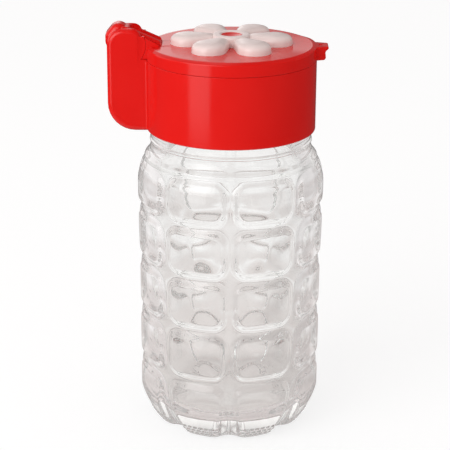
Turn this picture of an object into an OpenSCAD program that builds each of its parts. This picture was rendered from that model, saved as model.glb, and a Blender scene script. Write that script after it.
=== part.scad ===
// Glass table shaker for salt: a pillow-cut jar, a screw cap with a hinge bracket,
// a flip lid with a thumb lever, and a daisy pressed on the lid.
// Millimetres, +Z up. The origin is the centre of the foot.
// The thumb lever points along -X and the lifting tab along +X.

/* [Glass jar] */
// Widest diameter, over the pillows
jar_d = 49.8; // [49.4:0.2:54]
// Height of the foot row
foot_row_h = 18.3; // [16:0.1:22]
// Height of each row of pillows
row_h = 14.65; // [12:0.05:17]
// Number of rows of pillows above the foot row
row_count = 4; // [2:1:5]
// Number of columns of pillows
column_count = 8; // [6:1:10]
// Depth of the level grooves between the rows
ring_groove = 1; // [0.6:0.1:1.4]
// Depth of the upright grooves between the columns
column_groove = 1.5; // [1.5:0.1:1.9]
// Thickness of the glass at the pillows
glass_t = 4.6; // [3.6:0.1:6]
// Thickness of the bottom
bottom_t = 6.2; // [5:0.1:10]
// Diameter of the collar below the cap
collar_d = 42.4; // [41.6:0.2:42.8]
// Height of the collar that shows below the cap
collar_show = 5.1; // [3:0.1:7]

/* [Screw cap] */
// Outer diameter of the cap and the lid
cap_d = 45; // [44.6:0.2:47]
// Height of the cap below the lid
cap_h = 18.9; // [18:0.1:24]
// Climb of the screw thread in one turn
thread_pitch = 4.2; // [3.6:0.1:4.6]
// Number of sprinkling holes in the ring round the middle hole
ring_holes = 6; // [4:1:8]
// Diameter of each sprinkling hole
hole_d = 2.4; // [1.6:0.1:3]

/* [Hinge bracket] */
// Distance from the jar's axis to the bracket's outer edge
bracket_reach = 32.5; // [32:0.1:34]
// Width over the two cheeks
bracket_w = 9.5; // [9:0.1:11]
// Thickness of each cheek
cheek_t = 1.45; // [1.3:0.05:1.7]
// Diameter of the lever's trunnions
trunnion_d = 3; // [2.4:0.1:3.4]

/* [Flip lid] */
// Height of the lid from its skirt's edge to its flat top
lid_h = 3.4; // [3:0.1:4.4]
// Height of the lever's thumb pad above the lid's flat top
pad_rise = 5.6; // [5.4:0.1:6.4]
// Distance from the jar's axis to the end of the lifting tab
tab_reach = 25.4; // [24.6:0.1:27]

/* [Daisy] */
// Number of petals
petal_count = 6; // [5:1:7]
// Distance from the middle to a petal's tip
petal_reach = 16.1; // [15:0.1:17.5]
// Widest part of a petal
petal_w = 8.9; // [8:0.1:10]
// Height of the petals' crowns above the lid
petal_h = 2.8; // [2.6:0.1:3.8]

/* [Hidden] */
$fn = 96;
// Smallest overlap that joins two solids of one piece
join = 0.05;
// Length by which a cutter runs past the face that it cuts
past = 1;

// Jar: rows, grooves, neck and hollow
jar_r = jar_d / 2;
row_round = 3;
foot_round = 4.6;
shoulder_round = 5;
top_row_extra = 1;
shoulder_z = foot_row_h + row_count * row_h + top_row_extra;
// Long arcs that draw the foot and the shoulder in: radius, and height from the foot or the shoulder
foot_sweep_r = 11;
foot_sweep_h = 9.6;
shoulder_sweep_r = 20;
shoulder_sweep_h = 9.6;
sweep_proud = 0.05;
groove_cut_r = 3.2;
plan_proud = 0.3;
hollow_r = jar_r - glass_t;
hollow_round = 4;
collar_r = collar_d / 2;
neck_step = 1.3;
neck_r = collar_r - neck_step;
neck_wall = 2.6;
mouth_r = neck_r - neck_wall;
hollow_neck_drop = 7;
hollow_neck_rise = 0.5;

// Levels of the cap and the lid, from the jar's shoulder up
cap_z = shoulder_z + collar_show;
cap_top_z = cap_z + cap_h;
lid_gap = 0.3;
lid_z = cap_top_z + lid_gap;
lid_top_z = lid_z + lid_h;
deck_t = 2.2;
deck_z = cap_top_z - deck_t;
liner_t = 1;
liner_gap = 0.1;
liner_z = deck_z - liner_gap - liner_t;
rim_z = liner_z - liner_gap;
collar_cover = 1.5;
collar_top_z = cap_z + collar_cover;

// Cap: wall, thread and raised ring under the lid
cap_r = cap_d / 2;
cap_gap = 0.35;
bore_r = collar_r + cap_gap;
rim_ring_inset = 3.3;
rim_ring_r = cap_r - rim_ring_inset;
rim_ring_t = 1.2;
rim_ring_h = 1.2;
sprinkle_r = 6;
thread_steps = 40;
thread_fade = 4;
thread_root_w = 1.8;
thread_crest_w = 0.9;
thread_embed = 0.4;
thread_sink = 0.2;
thread_rise = 7;
thread_z = cap_z + thread_rise;
neck_crest_clear = 0.2;
neck_crest_r = collar_r - neck_crest_clear;
cap_crest_clear = 0.3;
cap_crest_r = neck_r + cap_crest_clear;
liner_inset = 0.8;
liner_r = bore_r - liner_inset;
liner_mouth_clear = 0.3;
liner_inner_r = mouth_r + liner_mouth_clear;

// Bracket: the two cheeks and the pivot between them
cheek_out = bracket_w / 2;
cheek_in = cheek_out - cheek_t;
bracket_low_round = 7.3;
bracket_outer_round = 4.3;
bracket_inner_round = 2.5;
bracket_neck = 1;
bracket_neck_x = cap_r + bracket_neck;
bracket_rise = 4.6;
bracket_top_z = lid_top_z + bracket_rise;
bracket_join_drop = 1;
bracket_join_z = cap_top_z - bracket_join_drop;
bracket_wall = 1.6;
pivot_inset = 4.5;
pivot_x = -bracket_reach + pivot_inset;
pivot_rise = 0.4;
pivot_z = lid_top_z + pivot_rise;
slot_drop = 6.5;
slot_floor_z = pivot_z - slot_drop;
slot_root = 1.7;
slot_root_x = pivot_x + slot_root;
socket_clear = 0.05;
socket_end_clear = 0.15;
trunnion_inset = 0.65;
trunnion_reach = cheek_out - trunnion_inset;

// Lid: shell, lever, stud and tab
lid_wall = 1.8;
lid_bevel_w = 2;
lid_bevel_drop = 0.7;
lever_side_clear = 0.3;
lever_half_w = cheek_in - lever_side_clear;
lever_rib_t = 1.2;
lever_boss_r = 3.6;
lever_tip_x = -18.1;
lever_arm_z = lid_z + 0.2;
// Lever's ribs: run and rise of their foot on the lid and of their end at the pad
rib_foot = [0.8, 1.2];
rib_end = [1.1, 4.7];
// Thumb pad and heel: run from the pivot, and drop below the pad's top or the pivot
pad_back = [0.2, 0.8];
pad_peak = 1.6;
heel_top_drop = 0.8;
heel_low = [2.5, 2.6];
pad_proud = 0.5;
pad_x = -bracket_reach - pad_proud;
pad_top_z = lid_top_z + pad_rise;
pad_chamfer = 2.7;
stud_r = 2.7;
stud_h = 2.5;
tab_root_half_w = 3.4;
tab_tip_half_w = 2.4;
tab_hole_d = 1.2;
tab_hole_out = 1;
tab_hole_x = cap_r + tab_hole_out;

// Daisy: petals, ring and crown
petal_r = petal_w / 2;
petal_tip_x = petal_reach - petal_r;
petal_root_x = 4;
petal_root_half_w = 2.1;
petal_waist = [0.55, 0.8];
petal_waist_x = petal_tip_x - petal_waist[0] * petal_r;
petal_waist_half_w = petal_waist[1] * petal_r;
petal_crown_r = 15;
petal_crown_x = petal_tip_x - 1;
ring_r = 5.2;
ring_h = 2.7;
stud_clear = 0.03;

// Half section of one row: a block from the axis to radius, its outer corners round
module row_section(z_low, z_high, radius, low_round, high_round) {
    translate([0, z_low])
        square([radius - low_round, low_round]);
    translate([0, z_low + low_round])
        square([radius, z_high - z_low - low_round - high_round]);
    translate([0, z_high - high_round])
        square([radius - high_round, high_round]);
    translate([radius - low_round, z_low + low_round])
        circle(r = low_round);
    translate([radius - high_round, z_high - high_round])
        circle(r = high_round);
}

// Half section of the stacked rows
module stack_section() {
    row_section(0, foot_row_h, jar_r, foot_round, row_round);
    for (i = [0 : row_count - 1])
        row_section(
            foot_row_h + i * row_h,
            foot_row_h + (i + 1) * row_h + (i == row_count - 1 ? top_row_extra : 0),
            jar_r,
            row_round,
            i == row_count - 1 ? shoulder_round : row_round
        );
    translate([0, foot_round])
        square([jar_r - ring_groove, shoulder_z - shoulder_round - foot_round]);
}

// Half section of the whole jar below its neck: the rows, drawn in at the foot and the shoulder
module rows_section() {
    sweep_top_z = shoulder_z - shoulder_sweep_h;
    intersection() {
        stack_section();
        union() {
            translate([jar_r + sweep_proud - foot_sweep_r, foot_sweep_h])
                circle(r = foot_sweep_r);
            translate([jar_r + sweep_proud - shoulder_sweep_r, sweep_top_z])
                circle(r = shoulder_sweep_r);
            translate([0, foot_sweep_h])
                square([jar_r + plan_proud, sweep_top_z - foot_sweep_h]);
        }
    }
}

// Plan of the jar: a round with an upright groove between each two columns, one facing -Y
module grooved_plan() {
    difference() {
        circle(r = jar_r + plan_proud);
        for (i = [0 : column_count - 1])
            rotate(i * 360 / column_count - 90)
                translate([jar_r - column_groove + groove_cut_r, 0])
                    circle(r = groove_cut_r);
    }
}

// Half section of the hollow, from the bottom to past the rim
module hollow_section() {
    top_z = shoulder_z - hollow_neck_drop;
    neck_z = shoulder_z + hollow_neck_rise;
    translate([0, bottom_t])
        square([hollow_r - hollow_round, hollow_round]);
    translate([hollow_r - hollow_round, bottom_t + hollow_round])
        circle(r = hollow_round);
    translate([0, bottom_t + hollow_round])
        square([hollow_r, top_z - bottom_t - hollow_round]);
    polygon([[0, top_z - join], [hollow_r, top_z - join], [hollow_r, top_z], [mouth_r, neck_z], [0, neck_z]]);
    translate([0, neck_z - join])
        square([mouth_r, rim_z + past - neck_z + join]);
}

// One turn of a right-hand thread: a four-sided ridge from base_r to crest_r, fading in and out
module thread_ridge(base_r, crest_r, start_z) {
    wall_r = base_r + sign(crest_r - base_r) * thread_embed;
    outward = crest_r > base_r;
    function fade(i) = min(1, min(i, thread_steps - i) / thread_fade);
    function reach(i) = wall_r + (crest_r - wall_r) * (fade(i) - (1 - fade(i)) * thread_sink);
    function ring(i) = [
        [base_r, -thread_root_w / 2],
        [reach(i), -thread_crest_w / 2],
        [reach(i), thread_crest_w / 2],
        [base_r, thread_root_w / 2]
    ];
    function place(p, i) = [
        p[0] * cos(360 * i / thread_steps),
        p[0] * sin(360 * i / thread_steps),
        start_z + thread_pitch * i / thread_steps + p[1]
    ];
    points = [for (i = [0 : thread_steps]) for (p = ring(i)) place(p, i)];
    sides = [
        for (i = [0 : thread_steps - 1])
            for (k = [0 : 3])
                let (a = 4 * i + k, b = 4 * i + (k + 1) % 4)
                    for (t = [[a, b, b + 4], [a, b + 4, a + 4]]) t
    ];
    last = 4 * thread_steps;
    ends = [[0, 3, 2], [0, 2, 1], [last, last + 1, last + 2], [last, last + 2, last + 3]];
    function flip(t) = [t[2], t[1], t[0]];
    faces = [for (t = concat(sides, ends)) outward ? t : flip(t)];
    polyhedron(points = points, faces = faces, convexity = 6);
}

// Pressed clear glass: pillowed rows, collar, threaded neck and a smooth hollow
module glass_jar() {
    color("#d9e4e4", 0.45)
        difference() {
            union() {
                intersection() {
                    rotate_extrude()
                        rows_section();
                    linear_extrude(shoulder_z)
                        grooved_plan();
                }
                translate([0, 0, shoulder_z - shoulder_round])
                    cylinder(r = collar_r, h = collar_top_z - shoulder_z + shoulder_round);
                translate([0, 0, collar_top_z - join])
                    cylinder(r = neck_r, h = rim_z - collar_top_z + join);
                thread_ridge(neck_r - thread_embed, neck_crest_r, thread_z);
            }
            rotate_extrude()
                hollow_section();
        }
}

// Soft white ring between the jar's rim and the cap's deck
module cap_liner() {
    color("#f3f1ea")
        translate([0, 0, liner_z])
            difference() {
                cylinder(r = liner_r, h = liner_t);
                translate([0, 0, -past])
                    cylinder(r = liner_inner_r, h = liner_t + 2 * past);
            }
}

// Side outline of the bracket, seen along +Y: x across, z up
module bracket_outline() {
    low_x = -bracket_reach + bracket_low_round;
    low_z = cap_z + bracket_low_round;
    outer_x = -bracket_reach + bracket_outer_round;
    outer_z = bracket_top_z - bracket_outer_round;
    inner_x = -bracket_neck_x - bracket_inner_round;
    inner_z = bracket_top_z - bracket_inner_round;
    translate([low_x, low_z])
        circle(r = bracket_low_round);
    translate([outer_x, outer_z])
        circle(r = bracket_outer_round);
    translate([inner_x, inner_z])
        circle(r = bracket_inner_round);
    translate([-bracket_reach, low_z])
        square([bracket_reach - bracket_neck_x, outer_z - low_z]);
    translate([outer_x, low_z])
        square([inner_x - outer_x, bracket_top_z - low_z]);
    translate([inner_x, low_z])
        square([-bracket_neck_x - inner_x, inner_z - low_z]);
    translate([low_x, cap_z])
        square([-low_x, bracket_join_z - cap_z]);
}

// A block between the cheeks, from x_low to x_high and z_low to z_high
module between_cheeks(x_low, x_high, z_low, z_high) {
    translate([x_low, -cheek_in, z_low])
        cube([x_high - x_low, 2 * cheek_in, z_high - z_low]);
}

// A cylinder along Y on the lever's pivot, reaching half_length to each side
module on_pivot(r, half_length) {
    translate([pivot_x, 0, pivot_z])
        rotate([90, 0, 0])
            cylinder(r = r, h = 2 * half_length, center = true);
}

// Two cheeks joined by an end wall and a floor, hollow from below, slotted above for the lever
module bracket() {
    core_x = -bracket_reach + bracket_wall;
    difference() {
        rotate([90, 0, 0])
            linear_extrude(bracket_w, center = true)
                bracket_outline();
        translate([0, 0, cap_z - past])
            cylinder(r = cap_r - join, h = bracket_top_z - cap_z + 2 * past);
        between_cheeks(-bracket_reach - past, slot_root_x, slot_floor_z, bracket_top_z + past);
        between_cheeks(slot_root_x - join, 0, cap_top_z, bracket_top_z + past);
        difference() {
            between_cheeks(core_x, 0, cap_z - past, slot_floor_z - bracket_wall);
            translate([0, 0, cap_z - 2 * past])
                cylinder(r = cap_r + join, h = cap_h + 2 * past);
        }
        on_pivot(trunnion_d / 2 + socket_clear, trunnion_reach + socket_end_clear);
    }
}

// Moulded red cap: wall, deck with sprinkling holes, raised ring, thread and hinge bracket
module screw_cap() {
    color("#d8141c")
        difference() {
            union() {
                translate([0, 0, cap_z])
                    difference() {
                        cylinder(r = cap_r, h = cap_h);
                        translate([0, 0, -past])
                            cylinder(r = bore_r, h = cap_h - deck_t + past);
                    }
                translate([0, 0, cap_top_z - join])
                    difference() {
                        cylinder(r = rim_ring_r, h = rim_ring_h + join);
                        translate([0, 0, -past])
                            cylinder(r = rim_ring_r - rim_ring_t, h = rim_ring_h + 2 * past);
                    }
                thread_ridge(bore_r + thread_embed, cap_crest_r, thread_z - thread_pitch / 2);
                bracket();
            }
            translate([0, 0, deck_z - past])
                cylinder(d = hole_d, h = deck_t + 2 * past);
            for (i = [0 : ring_holes - 1])
                rotate(i * 360 / ring_holes)
                    translate([sprinkle_r, 0, deck_z - past])
                        cylinder(d = hole_d, h = deck_t + 2 * past);
        }
}

// Side outline of the lever: ribs rising from the lid, thumb pad, heel and pivot boss
module lever_outline() {
    root_x = -cap_r + lid_wall / 2;
    polygon([
        [lever_tip_x, lid_top_z - join],
        [lever_tip_x - rib_foot[0], lid_top_z + rib_foot[1]],
        [pivot_x + rib_end[0], lid_top_z + rib_end[1]],
        [pivot_x + pad_back[0], pad_top_z - pad_back[1]],
        [pivot_x - pad_peak, pad_top_z],
        [pad_x + pad_chamfer, pad_top_z],
        [pad_x, pad_top_z - pad_chamfer],
        [pad_x, pivot_z - heel_top_drop],
        [pivot_x - heel_low[0], pivot_z - heel_low[1]],
        [pivot_x, lever_arm_z],
        [root_x, lever_arm_z],
        [root_x, lid_top_z - join]
    ]);
    translate([pivot_x, pivot_z])
        circle(r = lever_boss_r);
}

// Channel-shaped lever with a closed thumb pad and a trunnion on each side
module lever() {
    difference() {
        rotate([90, 0, 0])
            linear_extrude(2 * lever_half_w, center = true)
                lever_outline();
        translate([pivot_x + pad_back[0], -lever_half_w + lever_rib_t, lid_top_z])
            cube([-pivot_x, 2 * (lever_half_w - lever_rib_t), pad_rise + past]);
    }
    on_pivot(trunnion_d / 2, trunnion_reach);
}

// Moulded red lid: bevelled disc with a skirt, daisy stud, lifting tab and thumb lever
module flip_lid() {
    bevel_r = cap_r - lid_bevel_w;
    bevel_z = lid_top_z - lid_bevel_drop;
    color("#d8141c")
        difference() {
            union() {
                rotate_extrude()
                    polygon([
                        [0, lid_top_z - lid_wall],
                        [cap_r - lid_wall, lid_top_z - lid_wall],
                        [cap_r - lid_wall, lid_z],
                        [cap_r, lid_z],
                        [cap_r, bevel_z],
                        [bevel_r, lid_top_z],
                        [0, lid_top_z]
                    ]);
                translate([0, 0, lid_top_z - join])
                    cylinder(r = stud_r, h = stud_h + join);
                translate([0, 0, lid_z])
                    linear_extrude(lid_h - lid_bevel_drop / 2)
                        polygon([
                            [cap_r - lid_wall / 2, -tab_root_half_w],
                            [tab_reach, -tab_tip_half_w],
                            [tab_reach, tab_tip_half_w],
                            [cap_r - lid_wall / 2, tab_root_half_w]
                        ]);
                lever();
            }
            translate([tab_hole_x, 0, lid_z - past])
                cylinder(d = tab_hole_d, h = lid_h + 2 * past);
        }
}

// Plan of one petal along +X: a round tip on a root that narrows towards the ring
module petal_plan() {
    translate([petal_tip_x, 0])
        circle(r = petal_r);
    polygon([
        [petal_root_x, -petal_root_half_w],
        [petal_waist_x, -petal_waist_half_w],
        [petal_waist_x, petal_waist_half_w],
        [petal_root_x, petal_root_half_w]
    ]);
}

// Half section under the petals' crowns: highest halfway along the petals
module crown_section() {
    intersection() {
        translate([petal_crown_x, petal_h - petal_crown_r])
            circle(r = petal_crown_r);
        square([petal_reach + past, petal_h + past]);
    }
}

// Glossy white daisy: domed petals joined to a ring that grips the lid's stud
module daisy() {
    color("#f4eeea")
        translate([0, 0, lid_top_z])
            difference() {
                union() {
                    intersection() {
                        linear_extrude(petal_h + past)
                            for (i = [0 : petal_count - 1])
                                rotate(i * 360 / petal_count)
                                    petal_plan();
                        rotate_extrude()
                            crown_section();
                    }
                    cylinder(r = ring_r, h = ring_h);
                }
                translate([0, 0, -past])
                    cylinder(r = stud_r + stud_clear, h = petal_h + 2 * past);
            }
}

glass_jar();
cap_liner();
screw_cap();
flip_lid();
daisy();
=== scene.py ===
import math
import bmesh
import bpy
import numpy as np
from mathutils import Matrix, Vector


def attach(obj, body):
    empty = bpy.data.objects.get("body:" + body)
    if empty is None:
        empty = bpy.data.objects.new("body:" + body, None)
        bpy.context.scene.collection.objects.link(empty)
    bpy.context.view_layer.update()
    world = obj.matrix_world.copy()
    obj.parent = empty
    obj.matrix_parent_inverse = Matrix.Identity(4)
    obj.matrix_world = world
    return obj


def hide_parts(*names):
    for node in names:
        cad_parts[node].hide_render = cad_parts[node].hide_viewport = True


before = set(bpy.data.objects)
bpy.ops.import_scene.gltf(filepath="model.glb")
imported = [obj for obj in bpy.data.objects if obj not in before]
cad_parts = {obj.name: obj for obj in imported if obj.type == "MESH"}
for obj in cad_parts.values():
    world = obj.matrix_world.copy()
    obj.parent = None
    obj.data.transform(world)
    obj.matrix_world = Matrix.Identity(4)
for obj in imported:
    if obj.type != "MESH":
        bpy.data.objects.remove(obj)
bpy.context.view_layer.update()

# Glass jar
# The shaker's body: clear soda-lime glass, pressed in a mould and fire polished. Eight columns of round
# pillows stand in rows over a notched foot with a stippled bearing ring; the neck's thread holds the cap.
MM = 0.001
COLUMN_COUNT = 8
COLUMN_STEP = 2 * math.pi / COLUMN_COUNT
ROW_EDGES = (-30, 18.3, 32.95, 47.6, 62.25, 75.8)
GROOVE_HALF_W, GROOVE_DEPTH, GROOVE_END_EASE, EDGE_SOFTNESS = 2.0, 0.95, 1.4, 0.55
NOTCH_HALF_W, NOTCH_DEPTH = 3.6, 2.1
PILLOW_CORNER_R, PILLOW_CROWN, ROW_HALF_H = 2.6, 0.12, 7.3
CROWN_FROM_Z, CROWN_EASE = 2, 10
INSIDE_RIB, INSIDE_FROM_Z, INSIDE_EASE = 0.9, 10, 8
BODY_R = 24.6
TOP_SWELL = 0.4
SWELL_FROM, SWELL_TO = 38, 69
FOOT_R, FOOT_Z, HEEL_Z, HEEL_POWER = 19.6, 0.3, 9.6, 1.28
SHOULDER_PROFILE = ((24.98, 68), (25.0, 69), (24.85, 70.8), (24.5, 72.4), (24.15, 73.7), (23.9, 74.5),
                    (23.55, 75.3), (22.95, 76.2), (22.15, 77.1), (21.7, 78.0), (21.46, 79.0), (21.4, 79.8),
                    (21.4, 80.5))
COLLAR_R, COLLAR_TOP_Z, COLLAR_ROUND = 21.4, 84.5, 0.4
BEAD_Z, BEAD_HALF_W, BEAD_H, BEAD_ROWS = 80.3, 0.55, 0.28, (79.85, 81.2, 0.1)
TOP_GROOVE_FROM, TOP_GROOVE_TO, TOP_GROOVE_SHARE = 71.0, 76.2, 0.5
NECK_R, RIM_Z, MOUTH_R = 19.9, 98.5, 17.3
HOLLOW_R, HOLLOW_TOP_Z, HOLLOW_NECK_Z = 20.2, 70, 78.4
BOTTOM_Z, HOLLOW_ROUND = 6.2, 5
WAVE_DEPTHS = (0.08, 0.015)
STIPPLE_ROWS, STIPPLE_COUNT, STIPPLE_H = (15.9, 17.0, 18.1), 88, 0.3
HEEL_DOT_ROWS, DOT_HALF_W = (1.3, 2.4, 3.5), 0.6
THREAD_START_Z, THREAD_PITCH, THREAD_REACH = 90.0, 4.2, 1.1
THREAD_ROOT_HALF_W, THREAD_CREST_HALF_W, THREAD_FADE = 0.9, 0.45, 0.1
FINE_STEP, ROW_STEP, FINE_ACROSS, FINE_UP = 0.2, 0.45, 3.6, 3


def arc(centre, radii, start, end, count):
    """Points (r, z) along part of an ellipse, from the start to the end angle in degrees."""
    angles = np.radians(np.linspace(start, end, count))
    return [(centre[0] + radii[0] * math.cos(a), centre[1] + radii[1] * math.sin(a)) for a in angles]


def smooth(share):
    """Eases from 0 to 1 with level ends."""
    share = np.clip(share, 0, 1)
    return share * share * (3 - 2 * share)


def add_piece(name, points, faces):
    """A new mesh object from points in millimetres."""
    mesh = bpy.data.meshes.new(name)
    mesh.from_pydata((np.asarray(points) * MM).tolist(), [], faces)
    piece = bpy.data.objects.new(name, mesh)
    bpy.context.scene.collection.objects.link(piece)
    return piece


def evenly(count):
    """Angles round a full turn."""
    return np.linspace(0, 2 * math.pi, count, endpoint=False)


def turned(name, outline, angle, shape=None):
    """A closed form turned round Z from an (r, z) outline whose ends lie on the axis, with a corner at each
    angle. shape may move the rings: it takes and gives the radii and heights, one row for each ring."""
    around = len(angle)
    r = np.array([p[0] for p in outline[1:-1]])[:, None] + 0 * angle
    z = np.array([p[1] for p in outline[1:-1]])[:, None] + 0 * angle
    if shape:
        r, z = shape(angle, r, z)
    rings = np.stack([r * np.cos(angle), r * np.sin(angle), z], axis=-1)
    points = np.concatenate([[(0, 0, outline[0][1])], rings.reshape(-1, 3), [(0, 0, outline[-1][1])]])
    last = len(points) - 1
    faces = []
    for j in range(around):
        k = (j + 1) % around
        faces.append((0, 1 + k, 1 + j))
        for i in range(len(rings) - 1):
            low, high = 1 + i * around, 1 + (i + 1) * around
            faces.append((low + j, low + k, high + k, high + j))
        top = last - around
        faces.append((top + j, top + k, last))
    return add_piece(name, points, faces)


def smooth_with_creases(piece, crease=32):
    """Smooth faces, with every edge that bends more than the crease angle left sharp."""
    form = bmesh.new()
    form.from_mesh(piece.data)
    for face in form.faces:
        face.smooth = True
    for edge in form.edges:
        edge.smooth = len(edge.link_faces) == 2 and math.degrees(edge.calc_face_angle(0)) < crease
    form.to_mesh(piece.data)
    form.free()


def body_radius(z):
    """The pillows' radius, which grows a little towards the shoulder."""
    return BODY_R + TOP_SWELL * smooth((z - SWELL_FROM) / (SWELL_TO - SWELL_FROM))


def eased(knots, count):
    """Points on a smooth curve through the knots after the first and before the last."""
    knots = np.array(knots)
    s = np.linspace(0, 1, count, endpoint=False)[:, None]
    spans = [0.5 * (2 * b + (c - a) * s + (2 * a - 5 * b + 4 * c - d) * s ** 2
                    + (3 * b - a - 3 * c + d) * s ** 3)
             for a, b, c, d in zip(knots, knots[1:], knots[2:], knots[3:])]
    return [tuple(p) for p in np.concatenate(spans)]


underside = [(r, FOOT_Z) for r in (0, 4, 9, 13)]
underside += [(r, FOOT_Z) for r in np.arange(15.0, FOOT_R - 0.1, FINE_STEP)]
heel = [(FOOT_R + (BODY_R - FOOT_R) * math.cos(a) ** (2 / HEEL_POWER),
         HEEL_Z - (HEEL_Z - FOOT_Z) * math.sin(a) ** (2 / HEEL_POWER))
        for a in np.radians(np.linspace(88, 0, 56))]
row_heights = [np.arange(HEEL_Z + 0.4, ROW_EDGES[1] - FINE_UP, 0.6)]
for low, high in zip(ROW_EDGES[1:-1], ROW_EDGES[2:]):
    row_heights += [np.arange(low - FINE_UP, low + FINE_UP, FINE_STEP),
                    np.arange(low + FINE_UP, min(high - FINE_UP, SWELL_TO), ROW_STEP)]
rows = [(float(body_radius(z)), z) for z in np.concatenate(row_heights)]
shoulder = eased(SHOULDER_PROFILE, 10)
collar = [(COLLAR_R, z) for z in np.arange(*BEAD_ROWS)]
collar += [(COLLAR_R, 82.5), (COLLAR_R, COLLAR_TOP_Z - 0.5)]
collar_rounds = (COLLAR_ROUND, COLLAR_ROUND)
collar += arc((COLLAR_R - COLLAR_ROUND, COLLAR_TOP_Z - COLLAR_ROUND), collar_rounds, 0, 90, 5)
collar += arc((NECK_R + COLLAR_ROUND, COLLAR_TOP_Z + COLLAR_ROUND), collar_rounds, 270, 180, 5)
neck = [(NECK_R, z) for z in np.arange(COLLAR_TOP_Z + 0.7, RIM_Z - 1, 0.25)]
rim_half = (NECK_R - MOUTH_R) / 2
rim = arc(((NECK_R + MOUTH_R) / 2, RIM_Z - 0.9), (rim_half, 0.9), 0, 180, 13)
jar_outside = underside + heel + rows + shoulder + collar + neck
mouth = [(MOUTH_R, z) for z in (97, 93, 88, 83, 79.2)]
neck_ease = [(MOUTH_R + (HOLLOW_R - MOUTH_R) * float(smooth(s)),
              HOLLOW_NECK_Z + (HOLLOW_TOP_Z - HOLLOW_NECK_Z) * s) for s in np.linspace(0, 1, 22)]
hollow_wall = [(HOLLOW_R, z) for z in np.arange(HOLLOW_TOP_Z - ROW_STEP, BOTTOM_Z + HOLLOW_ROUND, -ROW_STEP)]
hollow_bottom = arc((HOLLOW_R - HOLLOW_ROUND, BOTTOM_Z + HOLLOW_ROUND), (HOLLOW_ROUND, HOLLOW_ROUND), 0, -90, 12)
hollow_bottom += [(12, BOTTOM_Z), (8, BOTTOM_Z + 0.05), (4, BOTTOM_Z + 0.12), (0, BOTTOM_Z + 0.15)]

groove_side = np.arange(0, FINE_ACROSS, FINE_STEP) / BODY_R
pillow_side = np.linspace(groove_side[-1], COLUMN_STEP / 2, 15)[1:]
half_column = np.concatenate([groove_side, pillow_side])
one_column = np.concatenate([half_column, COLUMN_STEP - half_column[-2:0:-1]])
jar_angles = np.concatenate([i * COLUMN_STEP + one_column for i in range(COLUMN_COUNT)])


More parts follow.
